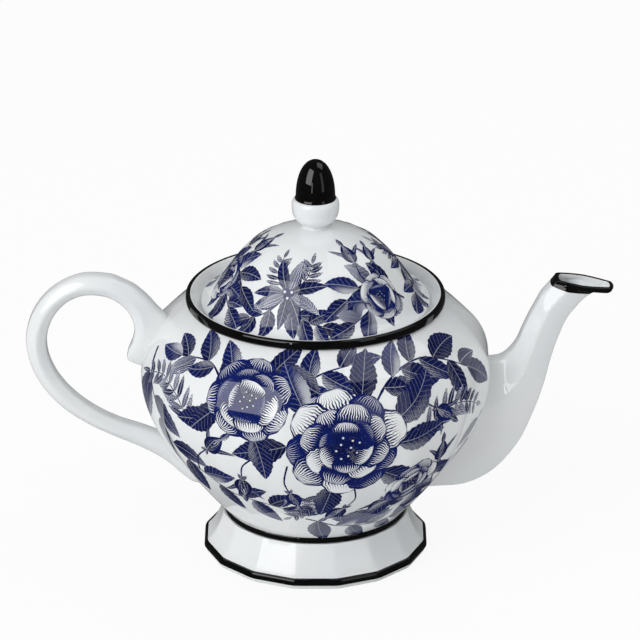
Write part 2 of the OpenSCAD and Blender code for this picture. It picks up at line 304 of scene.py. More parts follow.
def close_group(tree, given, shape):
    """Ends a geometry group in a real mesh of the given material."""
    shape = tree.node("GeometryNodeRealizeInstances", values={"Geometry": shape})[0]
    shape = tree.node("GeometryNodeSetMaterial", values={"Geometry": shape, "Material": given["Material"]})[0]
    tree.node("NodeGroupOutput", values={"Geometry": shape})


def panel_group():
    """Presses flat panels into a turned wall; what stays round has 0 in its wall attribute."""
    group, tree, given = open_group("press_panels", {
        "Panels": 16.0, "Ridge kept": 0.7, "Ridge rounding": 0.006, "Low end": 0.0, "Low fade": 0.01,
        "High end": 0.1, "High fade": 0.01})
    x, y, z = tree.parts(tree.node("GeometryNodeInputPosition")[0])
    panel = math.tau / given["Panels"]
    off_centre = ((y.math("ARCTAN2", x) + panel * 0.5) % panel) - panel * 0.5
    flat = 1.0 / off_centre.math("COSINE")
    ridge = 1.0 / (panel * 0.5).math("COSINE") - 1.0
    up = (z - given["Low end"]) / given["Low fade"]
    down = (given["High end"] - z) / given["High fade"]
    left = up.lower(down).ramp(0.0, 1.0, 0.1, 1.0) * given["Ridge kept"]
    pressed = flat.math("SMOOTH_MIN", ridge * left + 1.0, given["Ridge rounding"])
    wall = tree.node("GeometryNodeInputNamedAttribute", {"data_type": "FLOAT"}, {"Name": "wall"})[0]
    grow = (pressed - 1.0) * wall + 1.0
    moved = tree.vector(x * grow, y * grow, z)
    shape = tree.node("GeometryNodeSetPosition", values={"Geometry": given["Geometry"], "Position": moved})[0]
    close_group(tree, given, shape)
    return group


def apply_modifier(obj, modifier):
    """Leaves what a modifier makes as the object's plain mesh."""
    bpy.context.view_layer.update()
    made = bpy.data.meshes.new_from_object(obj.evaluated_get(bpy.context.evaluated_depsgraph_get()))
    obj.modifiers.remove(modifier)
    obj.data = made


def run_group(obj, group, values):
    """Runs a geometry group on an object, with values for its named inputs."""
    modifier = obj.modifiers.new(group.name, "NODES")
    modifier.node_group = group
    for item in group.interface.items_tree:
        if item.in_out == "INPUT" and item.name in values:
            modifier[item.identifier] = values[item.name]
    apply_modifier(obj, modifier)
    obj.data.name = obj.name


press_panels = panel_group()


def press(obj, is_wall, low, low_fade, high_fade, high, kept=0.7, rounding=0.006):
    """Presses panels into a turned piece where is_wall(radius, height) holds, between two heights at
    which they fade out. Lengths are in millimetres, but the rounding is a share of the radius."""
    mesh = obj.data
    wall = mesh.attributes.new("wall", "FLOAT", "POINT")
    spots = np.array([v.co for v in mesh.vertices]) / mm
    share = [float(is_wall(math.hypot(p[0], p[1]), p[2])) for p in spots]
    wall.data.foreach_set("value", np.array(share, np.float32))
    run_group(obj, press_panels, {"Ridge kept": kept, "Ridge rounding": rounding, "Low end": low * mm,
                                  "Low fade": low_fade * mm, "High end": high * mm,
                                  "High fade": high_fade * mm, "Material": mesh.materials[0]})
    obj.data.shade_smooth()
    obj.data.set_sharp_from_angle(angle=sharp_from)


def top(node):
    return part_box(node)[1].z / mm


def bottom(node):
    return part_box(node)[0].z / mm


def reach(node):
    """Half the depth of a node: on a round one its radius at the front, where a panel's middle lies."""
    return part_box(node)[1].y / mm


def wall_radius(wall, z):
    """Radius of a half profile at a height, both in millimetres."""
    return np.interp(z, wall[:, 1], wall[:, 0])


# ---------- bowl ----------
# The body of the pot: a thin cast bowl whose panels are strongest low down and fade under the neck. A
# ledge inside the rim carries the lid, and holes pierced behind the spout hold the leaves back.

base_z = top("foot")
neck_z = bottom("rim_band")
rim_z = top("rim_band")
seat_z = bottom("lid_dome")
belly_share = 0.685
belly_z = base_z + belly_share * (neck_z - base_z)
belly_r = reach("bowl")
base_r = 40.2
neck_r = reach("rim_band") - 1.2
lip_r = neck_r - 0.8
throat_r = reach("lid_flange") + 0.8
seat_r = throat_r + 5
wall_t = 3.2
floor_z = base_z + 4
throat_low_z = seat_z - 3.4

bowl_wall = soft_path(
    bezier([base_r, base_z], [base_r + 15, base_z + 18], [belly_r, belly_z - 25], [belly_r, belly_z], 60),
    bezier([belly_r, belly_z], [belly_r, belly_z + 16], [neck_r + 7, neck_z - 6.8], [neck_r, neck_z], 44))
bowl_hollow = soft_path(
    bezier([throat_r, throat_low_z], [neck_r + 5, throat_low_z - 1],
           [belly_r - wall_t, belly_z + 13], [belly_r - wall_t, belly_z], 16),
    bezier([belly_r - wall_t, belly_z], [belly_r - wall_t, belly_z - 27],
           [base_r + 11, base_z + 19], [base_r - 6, floor_z], 24))

bowl = turned("bowl_body", soft_path(
    [0, base_z], bowl_wall, [lip_r, neck_z + 0.05], [lip_r, rim_z - 0.2], [lip_r - 0.1, rim_z - 0.08],
    [lip_r - 0.4, rim_z - 0.08], [lip_r - 0.8, rim_z - 0.4], [seat_r + 0.6, seat_z + 1.3],
    [seat_r, seat_z + 0.4], [seat_r - 0.4, seat_z],
    [throat_r + 0.4, seat_z], [throat_r, seat_z - 0.4], bowl_hollow, [0, floor_z]), white_porcelain, 384)
press(bowl, lambda r, z: r > base_r - 1 and z < neck_z - 0.01 and r > wall_radius(bowl_wall, z) - 0.5,
      base_z, 14, 16, neck_z, kept=0.8, rounding=0.004)

strainer_d, strainer_pitch, strainer_rows = 4.2, 6.2, 5
strainer_x, strainer_low_z, strainer_bore = 70, base_z + 0.27 * (neck_z - base_z), 60


def pierce(obj, places, diameter, length, turn):
    """Pierces an object with round bores centred on places in millimetres, turned from +Z."""
    bores = bmesh.new()
    radius = diameter / 2 * mm
    for place in places:
        bore = bmesh.ops.create_cone(bores, cap_ends=True, segments=20, radius1=radius, radius2=radius,
                                     depth=length * mm)
        bmesh.ops.rotate(bores, verts=bore["verts"], cent=(0, 0, 0), matrix=turn)
        bmesh.ops.translate(bores, verts=bore["verts"], vec=Vector(place) * mm)
    piercer = mesh_object("piercer", [], [], white_porcelain)
    bores.to_mesh(piercer.data)
    bores.free()
    cut = obj.modifiers.new("pierce", "BOOLEAN")
    cut.object = piercer
    cut.operation = "DIFFERENCE"
    apply_modifier(obj, cut)
    bpy.data.objects.remove(piercer)


strainer_holes = [
    (strainer_x, (column - (1 + row % 2) / 2) * strainer_pitch, strainer_low_z + row * strainer_pitch)
    for row in range(strainer_rows) for column in range(2 + row % 2)]
pierce(bowl, strainer_holes, strainer_d, strainer_bore, Matrix.Rotation(math.pi / 2, 3, "Y"))
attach(bowl, "pot")
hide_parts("bowl")


# ---------- painted bands ----------
# Black glaze painted over the rim, round the waist and on the foot's edge. Each is a rounded bead that
# stands a little proud of the white glaze.

rim_out_r = reach("rim_band")
rim_band = turned("rim_bead", soft_path(
    bezier([lip_r + 0.02, neck_z + 0.1], [rim_out_r - 0.5, neck_z], [rim_out_r, neck_z + 0.4],
           [rim_out_r, neck_z + 1.5], 10),
    bezier([rim_out_r, neck_z + 1.5], [rim_out_r, rim_z - 0.5], [rim_out_r - 0.2, rim_z],
           [lip_r + 0.6, rim_z], 12),
    [lip_r + 0.2, rim_z - 0.02], [lip_r + 0.02, rim_z - 0.12], [lip_r + 0.02, rim_z - 1.2]), black_glaze)
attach(rim_band, "pot")
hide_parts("rim_band")

waist_low, waist_high = bottom("waist_band"), top("waist_band")
waist_r = reach("waist_band")
waist_mid = (waist_low + waist_high) / 2
waist_band = turned("waist_bead", soft_path(
    [waist_r - 2.2, waist_low],
    bezier([waist_r - 0.8, waist_low], [waist_r - 0.1, waist_low], [waist_r, waist_low + 0.5],
           [waist_r, waist_mid], 8),
    bezier([waist_r, waist_mid], [waist_r, waist_high - 0.5], [waist_r - 0.1, waist_high],
           [waist_r - 0.8, waist_high], 8),
    [waist_r - 2.2, waist_high]), black_glaze)
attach(waist_band, "pot")
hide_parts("waist_band")

foot_r = reach("foot_band")
band_low, band_high = bottom("foot_band"), top("foot_band")
foot_band = turned("foot_bead", soft_path(
    [foot_r - 3, band_low],
    bezier([foot_r - 0.9, band_low], [foot_r - 0.1, band_low], [foot_r, band_low + 0.3],
           [foot_r, band_low + 0.8], 6),
    bezier([foot_r, band_low + 0.8], [foot_r - 0.1, band_high - 0.6], [foot_r - 0.3, band_high],
           [foot_r - 1.6, band_high], 8),
    [foot_r - 3, band_high]), black_glaze, 384)
press(foot_band, lambda r, z: True, -30, 10, 10, 50, kept=0.8, rounding=0.008)
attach(foot_band, "pot")
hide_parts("foot_band")


# ---------- foot ----------
# A flared, panelled foot, hollow underneath. It stands on a narrow ring, wiped free of glaze on the real pot
# but glazed here.

shoulder_z = waist_low
foot_neck_r = waist_r - 1.7
foot_outside = soft_path(
    [foot_r - 6.5, 0],
    bezier([foot_r - 2.4, 0], [foot_r - 1.2, 0], [foot_r - 0.9, 0.3], [foot_r - 0.9, 0.9], 4),
    [foot_r - 0.9, band_low + 0.1], [foot_r - 1.6, band_low + 0.15], [foot_r - 1.6, band_high - 0.05],
    bezier([foot_r - 1.5, band_high], [foot_r - 3.6, band_high + 1.7], [base_r + 1.6, shoulder_z - 5.5],
           [base_r + 0.2, shoulder_z], 30))
foot = turned("foot_body", soft_path(
    foot_outside, [foot_neck_r, shoulder_z + 0.02], [foot_neck_r, base_z], [foot_neck_r - 5, base_z],
    [foot_neck_r - 5, shoulder_z - 1], [foot_r - 6.2, band_high]), white_porcelain, 384)
foot_skin = np.array([[foot_r - 5, 0], [foot_r - 5, band_high], [base_r - 2, shoulder_z]])
press(foot, lambda r, z: z < shoulder_z + 0.01 and r > wall_radius(foot_skin, z),
      -30, 10, 6, shoulder_z + 3, kept=0.8, rounding=0.008)
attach(foot, "pot")
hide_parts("foot")


# ---------- lid ----------
# A domed lid with an ogee edge, panelled like the bowl. Its edge rests on the ledge inside the rim, a
# turned flange keeps it from sliding off, and a small hole at the back lets the steam out.

flange_low_z = bottom("lid_flange")
flange_r = reach("lid_flange")
flange_in_r = flange_r - 2.6
lid_r = flange_r + 4.9
lid_top_z = top("lid_dome")
knob_neck_r = 5.5
vent_out, vent_d, vent_bore = 20, 3, 40
bend = np.array([lid_r - 14, seat_z + 17.1])
lid_wall = soft_path(
    [lid_r, seat_z + 0.4], [lid_r, seat_z + 1.1],
    bezier([lid_r, seat_z + 1.1], [lid_r - 0.1, seat_z + 1.6], [lid_r - 0.3, seat_z + 1.7],
           [lid_r - 1, seat_z + 1.85], 5),
    bezier([lid_r - 1, seat_z + 1.85], [lid_r - 5, seat_z + 2.9], [lid_r - 6.7, seat_z + 7.2], bend, 40),
    bezier(bend, bend + [-3.6, 4.6], [lid_r - 22, lid_top_z - 4.6], [knob_neck_r + 0.5, lid_top_z], 44))
lid_hollow = soft_path(
    bezier([0, lid_top_z - 3.5], [lid_r - 24, lid_top_z - 6.6], bend - [6, -3], bend - [3, 1.6], 16),
    bezier(bend - [3, 1.6], bend + [0, -6], [flange_in_r - 1, seat_z + 4], [flange_in_r, seat_z], 14))
lid_profile = soft_path([lid_r - 0.3, seat_z], lid_wall, [0, lid_top_z], lid_hollow)
lid = turned("lid_body", lid_profile, white_porcelain, 384)
press(lid, lambda r, z: r > 5.4 and z > seat_z + 0.2 and r > wall_radius(lid_wall, z) - 0.6,
      seat_z + 1, 9, 10, lid_top_z)
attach(lid, "lid")
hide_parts("lid_dome")

flange = turned("lid_flange_ring", soft_path(
    [flange_in_r + 0.7, flange_low_z],
    bezier([flange_r - 0.7, flange_low_z], [flange_r - 0.2, flange_low_z], [flange_r, flange_low_z + 0.2],
           [flange_r, flange_low_z + 0.7], 4),
    [flange_r, seat_z], [flange_in_r, seat_z],
    bezier([flange_in_r, flange_low_z + 0.7], [flange_in_r, flange_low_z + 0.2],
           [flange_in_r + 0.2, flange_low_z], [flange_in_r + 0.7, flange_low_z], 4)[:-1]), white_porcelain)
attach(flange, "lid")
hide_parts("lid_flange")


# ---------- knob ----------
# A turned cup stuck on the lid, holding an egg of black glaze.

egg_z = bottom("knob_tip")
egg_top_z = top("knob_tip")
cup_r = reach("knob_cup")
egg_r = reach("knob_tip") - 0.5
egg_h = egg_top_z - egg_z
cup = turned("knob_cup_body", soft_path(
    [0, lid_top_z - 0.3], [knob_neck_r + 1.6, lid_top_z - 0.3],
    bezier([knob_neck_r + 1.6, lid_top_z - 0.3], [knob_neck_r + 0.3, lid_top_z],
           [knob_neck_r, lid_top_z + 0.5], [knob_neck_r + 0.8, lid_top_z + 1.4], 10),
    bezier([knob_neck_r + 0.8, lid_top_z + 1.4], [knob_neck_r + 3.4, lid_top_z + 3], [cup_r, egg_z - 7.6],
           [cup_r, egg_z - 3], 20),
    bezier([cup_r, egg_z - 3], [cup_r, egg_z - 1.4], [cup_r - 0.5, egg_z - 0.4], [egg_r + 0.6, egg_z], 12),
    [0, egg_z]), white_porcelain, 160)
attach(cup, "lid")
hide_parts("knob_cup")

egg = turned("knob_egg", soft_path(
    [0, egg_z], [egg_r + 0.4, egg_z],
    bezier([egg_r + 0.4, egg_z], [egg_r + 0.6, egg_z + 0.3], [egg_r + 0.2, egg_z + 0.8],
           [egg_r + 0.1, egg_z + 1.2], 6),
    bezier([egg_r + 0.1, egg_z + 1.2], [egg_r, egg_z + egg_h * 0.66], [egg_r * 0.56, egg_top_z],
           [0, egg_top_z], 48)), black_glaze, 160)
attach(egg, "lid")
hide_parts("knob_tip")


# ---------- spout ----------
# A cast gooseneck spout with six soft sides, stuck over the strainer holes. The last few millimetres
# round its mouth are black. Outlines are in millimetres from the widest panel and the bowl's foot.


def through(points, t):
    """Smooth curve through equally spaced points, for t from 0 to 1."""
    last = len(points) - 1
    at = t * last
    i = max(0, min(int(at), last - 1))
    u = at - i
    a, b, c, d = (np.array(points[max(0, min(last, k))], float) for k in (i - 1, i, i + 1, i + 2))
    curve = 2 * a - 5 * b + 4 * c - d
    return 0.5 * (2 * b + u * (c - a) + u * u * curve + u ** 3 * (3 * b - a - 3 * c + d))


def six_sided(flat, bow, softness, steps=10, ridge=0.0):
    """Soft six-sided section as [across, along] shares; its two side ridges lie at [+-1, ridge]."""
    corners = np.array([[1, ridge], [flat, 1], [-flat, 1], [-1, ridge], [-flat, -1], [flat, -1]], float)
    ring = []
    for a, b in zip(corners, np.roll(corners, -1, axis=0)):
        side = np.array([b[1] - a[1], a[0] - b[0]])
        for t in np.arange(steps) / steps:
            p = a + t * (b - a) + 4 * t * (1 - t) * bow * side
            ring.append([p[0], p[1] / (1 + bow)])
    ring = np.array(ring)
    for _ in range(softness):
        ring = (np.roll(ring, 1, axis=0) + 2 * ring + np.roll(ring, -1, axis=0)) / 4
    return ring / np.abs(ring).max(axis=0)


def sweep(stations, inset=0.0):
    """Rings of points along stations of [first edge, second edge, half width, section]."""
    rings = []
    for first, second, half_w, section in stations:
        middle, half = (first + second) / 2, (first - second) / 2
        length = np.linalg.norm(half)
        way = half / length
        rings.append([((middle[0] + way[0] * q[1] * (length - inset)) * mm, q[0] * (half_w - inset) * mm,
                       (middle[1] + way[1] * q[1] * (length - inset)) * mm) for q in section])
    return rings


def tube_faces(rings, start=0, flip=False):
    """The faces of a tube of rings whose points are numbered from start on."""
    count = len(rings[0])
    faces = []
    for i in range(len(rings) - 1):
        for k in range(count):
            a, b = start + i * count + k, start + i * count + (k + 1) % count
            corners = [a, b, b + count, a + count]
            faces.append(corners[::-1] if flip else corners)
    return faces


def tube_wall(outer, inner, near_closed=False):
    """Points and faces of a tube with an outer and an inner skin that meet at its far end."""
    count = len(outer[0])
    skin = len(outer) * count
    far = skin - count
    faces = tube_faces(outer) + tube_faces(inner, skin, flip=True)
    if near_closed:
        faces += [[(k + 1) % count, k, skin + k, skin + (k + 1) % count] for k in range(count)]
    faces += [[far + k, far + (k + 1) % count, far + skin + (k + 1) % count, far + skin + k]
              for k in range(count)]
    return [p for ring in outer + inner for p in ring], faces


stuck_depth = 1.2


def in_bowl_wall(point):
    """Whether a point lies more than stuck_depth inside the bowl's outer wall."""
    z = point[2] / mm
    if not base_z < z < neck_z:
        return False
    return math.hypot(point[0], point[1]) / mm < wall_radius(bowl_wall, z) - stuck_depth


def trimmed(points, faces):
    """Drops what lies deep in the bowl's wall, where the piece is stuck on."""
    deep = [in_bowl_wall(p) for p in points]
    return [f for f in faces if not all(deep[i] for i in f)]


lip_h = 2.7
mouth_length, mouth_rise, tip_drop = 25.4, 0.4, 3.7
tip_x, tip_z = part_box("spout_lip_band")[1].x / mm, top("spout_lip_band") - tip_drop
back_x, back_z = tip_x - mouth_length, top("spout_lip_band") + mouth_rise
spout_upper = [(belly_r + x, base_z + z) for x, z in (
    (-15, 65.6), (-5.5, 66.6), (1, 67.2), (5.5, 68.4), (9.2, 71.8), (12.1, 76.4), (14.3, 82), (16.8, 87.8),
    (19.7, 93.6), (21.9, 97.8))] + [
    (back_x - 0.72 * lip_h, back_z - lip_h), (back_x - 0.32 * lip_h, back_z - 0.42 * lip_h), (back_x, back_z)]
spout_lower = [(belly_r + x, base_z + z) for x, z in (
    (-42.5, 6.6), (-23.5, 7.5), (-9.5, 8.9), (2.7, 15.6), (12.9, 28.1), (18.8, 41.1), (23.5, 54.9),
    (26.8, 68.6), (30.1, 79.1), (34.4, 88.7))] + [
    (tip_x - 3.6 * lip_h, tip_z - lip_h), (tip_x - 0.7 * lip_h, tip_z - 0.9 * lip_h), (tip_x, tip_z)]
spout_root_w, spout_neck_w, spout_wall = 13, 7.2, 1.8
lip_from = 1 - 2 / (len(spout_upper) - 1)
opens_from, opens_over = 0.7, 0.3
ridge_raise, mouth_egg = 0.3, 0.12


def spout_stations(start, end, count):
    """Sections along the spout. Their side ridges lie high, and come to the middle as the mouth opens
    into a slight egg shape, narrow towards its tip."""
    stations = []
    for t in np.linspace(start, end, count):
        half_w = spout_neck_w + (spout_root_w - spout_neck_w) * (1 - t) ** 2
        opening = max(0, (t - opens_from) / opens_over)
        flat, bow = 0.35 + 0.15 * t + 0.1 * opening, 0.005 + 0.05 * t
        section = six_sided(flat, bow, 3, 24, -ridge_raise * (1 - opening))
        section[:, 0] *= 1 - mouth_egg * opening * section[:, 1]
        stations.append((through(spout_lower, t), through(spout_upper, t), half_w, section))
    return stations


stations = spout_stations(0, lip_from, 150)
points, faces = tube_wall(sweep(stations), sweep(stations, spout_wall))
spout = mesh_object("spout_body", points, trimmed(points, faces), white_porcelain, 0.9)
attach(spout, "pot")
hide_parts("spout")

# The lip's skin stands a hair proud of the spout, and its last rings draw together into a round edge
lip_proud, lip_overlap = 0.04, 0.002
stations = spout_stations(lip_from - lip_overlap, 1, 40)
outer, inner = sweep(stations, -lip_proud), sweep(stations, spout_wall)
round_rings, black_inside = 6, 3
for i in range(round_rings):
    pull = 0.5 * (1 - math.sqrt(1 - ((i + 1) / round_rings) ** 2))
    ring_out, ring_in = np.array(outer[-round_rings + i]), np.array(inner[-round_rings + i])
    outer[-round_rings + i] = ring_out + (ring_in - ring_out) * pull * 0.8
    inner[-round_rings + i] = ring_in + (ring_out - ring_in) * pull * 0.8
lip = mesh_object("spout_lip", *tube_wall(outer, inner, near_closed=True), black_glaze, 1.2)
lip.data.materials.append(white_porcelain)
count = len(outer[0])
inner_start, inner_end = len(outer) * count, (2 * len(outer) - black_inside) * count
for polygon in lip.data.polygons:
    if all(inner_start <= i < inner_end for i in polygon.vertices):
        polygon.material_index = 1
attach(lip, "pot")
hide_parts("spout_lip_band")


# ---------- handle ----------
# A cast ring with flat outer and inner faces and a thumb spur under its top, stuck to the bowl's
# shoulder and low on its side. Outlines run from the upper root round to the lower one.

handle_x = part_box("handle")[0].x / mm
handle_outer = [(handle_x + x, base_z + z) for x, z in (
    (71, 78), (64, 83.5), (61.3, 86.5), (58.8, 89.4), (56.4, 92), (52.4, 96.6), (47.4, 101), (41.9, 103.9),
    (35.9, 106), (23.8, 106.1), (12.1, 100.3), (3.9, 90.7), (0, 78.7), (1.3, 66.3), (6.5, 54.8),
    (14.7, 45.1), (24.9, 37.6), (36.1, 31.7), (47.6, 26.5), (58.6, 20.2), (67.9, 11.9), (72.4, 9),
    (81, 7.6))]
handle_inner = [(handle_x + x, base_z + z) for x, z in (
    (60, 60), (50, 64), (44, 66.8), (43.9, 71), (46, 76.4), (46.8, 82.6), (44.6, 89), (39.9, 94),
    (33.6, 96.9), (25.1, 97.2), (17.5, 93.6), (11.8, 86.6), (9, 77.6), (9.7, 68.4), (13.7, 59.2),
    (20.4, 50.9), (29, 44), (39.1, 38.6), (50.5, 34.6), (62.5, 29.2), (71.7, 20.3), (76.5, 16), (82, 13))]
section = six_sided(0.5, 0.04, 4)
rings = sweep([(through(handle_outer, t), through(handle_inner, t), reach("handle"), section)
               for t in np.linspace(0, 1, 320)])
points = [p for ring in rings for p in ring]
handle = mesh_object("handle_ring", points, trimmed(points, tube_faces(rings)), white_porcelain, 0.9)
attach(handle, "pot")
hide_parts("handle")


# ---------- print ----------
# A blue transfer print of branches, blossoms, buds and leaves, engraved in fine lines. Each motif is cut
# as a flat sheet on the angles round the pot and is then laid on the glaze by a geometry tree.

chance = random.Random(7)
STEM, LEAF, PALE_LEAF, PETAL, BUD, BERRY = range(6)


def leaf_edge(t, teeth):
    return math.sin(math.pi * t ** 0.8) ** 0.85 * (1 - 0.14 * ((t * teeth) % 1))


def petal_edge(t, teeth):
    round_off = math.sqrt(max(0.0, 1 - (max(0.0, t - 0.68) / 0.32) ** 2))
    wave = 1 + 0.04 * math.sin(teeth * t * 9)
    return (0.12 + 0.88 * math.sin(math.pi / 2 * min(1, t / 0.68))) * round_off * wave


def bud_edge(t, teeth):
    return math.sin(math.pi * min(1, t + 0.03) ** 0.72) ** 0.8


def berry_edge(t, teeth):
    return math.sqrt(max(0.0, 1 - (2 * t - 1) ** 2))


EDGES = {LEAF: leaf_edge, PALE_LEAF: leaf_edge, PETAL: petal_edge, BUD: bud_edge, BERRY: berry_edge}
golden_angle = 137.5
page_gap, page_slack = 1.5, 1.12


def near_azimuth(azimuth, first):
    """The same azimuth, counted so that it lies within half a turn of the first one."""
    return first + (azimuth - first + math.pi) % math.tau - math.pi


class Sheet:
    """Cut motifs on a sheet of angles. Places are in millimetres from the sheet's middle; up is +y."""

    def __init__(self, radius, azimuth=0.0, elevation=0.0, flip=False):
        self.radius, self.azimuth, self.elevation = radius, math.radians(azimuth), math.radians(elevation)
        self.side = -1 if flip else 1
        self.patches = []

    def moved(self, azimuth, elevation, flip):
        """The same sheet with its middle at another place, turned over or not."""
        other = Sheet(self.radius, azimuth, elevation, flip)
        other.patches = self.patches
        return other

    def angles(self, x, y, dx=0.0, dy=0.0):
        """Azimuth and elevation of the place x, y, moved by a short way dx, dy on the surface itself."""
        azimuth = self.azimuth + self.side * x / self.radius
        elevation = self.elevation + y / self.radius
        level = math.cos(elevation)
        out = Vector((level * math.cos(azimuth), level * math.sin(azimuth), math.sin(elevation)))
        east = Vector((-math.sin(azimuth), math.cos(azimuth), 0))
        way = east * dx * self.side + out.cross(east) * dy
        arc = way.length / self.radius
        if arc > 1e-9:
            out = out * math.cos(arc) + way.normalized() * math.sin(arc)
        return math.atan2(out.y, out.x), math.asin(max(-1, min(1, out.z)))

    def add(self, rows, kind, width, length):
        """Adds one patch: rows of (azimuth, elevation), from its left edge to its right one."""
        self.patches.append({"rows": rows, "kind": kind, "width": width, "length": length,
                             "tone": chance.random(), "flip": self.side < 0})

    def strip(self, x, y, heading, length, width, kind, curl=0.0, teeth=7, start=0.0):
        """A leaf, petal, bud or berry that grows from x, y along heading, in degrees from +x."""
        count = max(6, round(length), 3 * teeth if kind in (LEAF, PALE_LEAF) else 0)
        across = max(4, 2 * round(width / 2.4))
        rows, at, way = [], np.zeros(2), math.radians(heading)
        at = at + start * np.array([math.cos(way), math.sin(way)])
        for i in range(count + 1):
            t = i / count
            turn = way + math.radians(curl) * t
            half = max(0.02, EDGES[kind](t, teeth)) * width / 2
            right = np.array([math.sin(turn), -math.cos(turn)])
            spots = [at + right * half * s for s in np.linspace(-1, 1, across + 1)]
            rows.append([self.angles(x, y, p[0], p[1]) for p in spots])
            at = at + np.array([math.cos(turn), math.sin(turn)]) * length / count
        self.add(rows, kind, width, length)

    def stem(self, points, thick, thin):
        """A stem through points, from its thick end. Returns its places with their headings."""
        path = [through(points, t) for t in np.linspace(0, 1, 12 * len(points))]
        rows, spots = [], []
        for i, p in enumerate(path):
            step = path[min(i + 1, len(path) - 1)] - path[max(i - 1, 0)]
            shrink = math.cos(self.elevation + p[1] / self.radius)
            heading = math.atan2(step[1], step[0] * shrink)
            half = (thick + (thin - thick) * i / (len(path) - 1)) / 2 * (1.25 if i % 9 == 4 else 1)
            right = (math.sin(heading) * half, -math.cos(heading) * half)
            rows.append([self.angles(p[0], p[1], -right[0], -right[1]), self.angles(p[0], p[1]),
                         self.angles(p[0], p[1], *right)])
            spots.append((p[0], p[1], math.degrees(heading)))
        self.add(rows, STEM, thick, len(path))
        return spots

    def branch(self, points, leaves, size, first, pale=0.2):
        """A stem with leaves on alternate sides and one at its tip."""
        spots = self.stem(points, 1.1, 0.5)
        for k in range(leaves):
            t = first + (1 - first) * (k + chance.uniform(-0.15, 0.15)) / leaves
            x, y, heading = spots[max(0, min(len(spots) - 1, round(t * (len(spots) - 1))))]
            side = 1 if k % 2 else -1
            length = size * chance.uniform(0.8, 1.1) * (1 - 0.25 * t)
            kind = PALE_LEAF if chance.random() < pale else LEAF
            self.strip(x, y, heading + side * (52 + chance.uniform(-10, 10)), length,
                       length * chance.uniform(0.48, 0.6), kind, -side * chance.uniform(10, 40))
        x, y, heading = spots[-1]
        self.strip(x, y, heading, size * 0.85, size * 0.45, LEAF, chance.uniform(-15, 15))

    def fern(self, points, leaflets, size):
        """A light sprig with pairs of narrow leaflets."""
        spots = self.stem(points, 0.5, 0.3)
        for k in range(leaflets):
            x, y, heading = spots[round((0.12 + 0.86 * k / leaflets) * (len(spots) - 1))]
            for side in (-1, 1):
                self.strip(x, y, heading + side * 58, size * (1 - 0.45 * k / leaflets), size * 0.26,
                           PALE_LEAF, -side * 25, 4)
        x, y, heading = spots[-1]
        self.strip(x, y, heading, size * 0.7, size * 0.2, PALE_LEAF, 0, 4)

    def blossom(self, x, y, radius, petals, heading):
        """An open blossom: rings of broad petals, each ring smaller, round a cluster of seeds."""
        for ring, (share, count) in enumerate(((1.0, petals), (0.74, petals - 1), (0.48, petals - 3))):
            for k in range(count):
                turn = heading + 360 * (k + 0.5 * ring) / count + chance.uniform(-6, 6)
                length = radius * share * chance.uniform(0.92, 1.06)
                self.strip(x, y, turn, length, length * math.tau / count * 1.02, PETAL,
                           chance.uniform(-14, 14), chance.choice((3, 4, 5)))
        for k in range(9):
            self.strip(x, y, k * golden_angle, radius * 0.1, radius * 0.1, BERRY,
                       start=radius * 0.055 * math.sqrt(k))

    def star(self, x, y, radius, rays, heading):
        """A small star-like flower of narrow rays round three berries."""
        for k in range(rays):
            turn = heading + 360 * k / rays + chance.uniform(-7, 7)
            self.strip(x, y, turn, radius * chance.uniform(0.85, 1.1), radius * 0.36,
                       LEAF if k % 3 else PALE_LEAF, chance.uniform(-20, 20), 5, start=radius * 0.08)
        for k in range(3):
            self.strip(x, y, heading + 60 + 120 * k, radius * 0.22, radius * 0.22, BERRY,
                       start=-radius * 0.02)

    def bud(self, points, size):
        """A closed bud on a thin stalk, held by narrow sepals."""
        spots = self.stem(points, 0.8, 0.6)
        x, y, heading = spots[-1]
        for side in (-1, 1):
            self.strip(x, y, heading + side * 26, size * 1.15, size * 0.2, LEAF, side * 30, 4)
        self.strip(x, y, heading, size, size * 0.62, BUD, 0)
        for side in (-0.5, 0.5):
            self.strip(x, y, heading + side * 22, size * 0.72, size * 0.2, LEAF, -side * 18, 4)
        self.strip(x, y, heading, size * 0.5, size * 0.22, LEAF, 0, 4, start=size * 0.85)
        for side in (-1, 1):
            self.strip(x, y, heading + 150 * side, size * 0.3, size * 0.14, LEAF, 0, 3)

    def page_places(self):
        """Where each patch lies on the square page of its OFBake map, row by row, and the page's side."""
        sizes = [(p["length"] + page_gap, p["width"] + page_gap) for p in self.patches]
        page = math.sqrt(sum(w * h for w, h in sizes) * page_slack)
        row_x, row_y, row_h = 0.0, 0.0, 0.0
        places = {}
        for n in sorted(range(len(sizes)), key=lambda n: -self.patches[n]["width"]):
            w, h = sizes[n]
            if row_x + w > page:
                row_x, row_y, row_h = 0.0, row_y + row_h, 0.0
            places[n] = (row_x + page_gap / 2, row_y + page_gap / 2)
            row_x, row_h = row_x + w, max(row_h, h)
        return places, max(page, row_y + row_h)

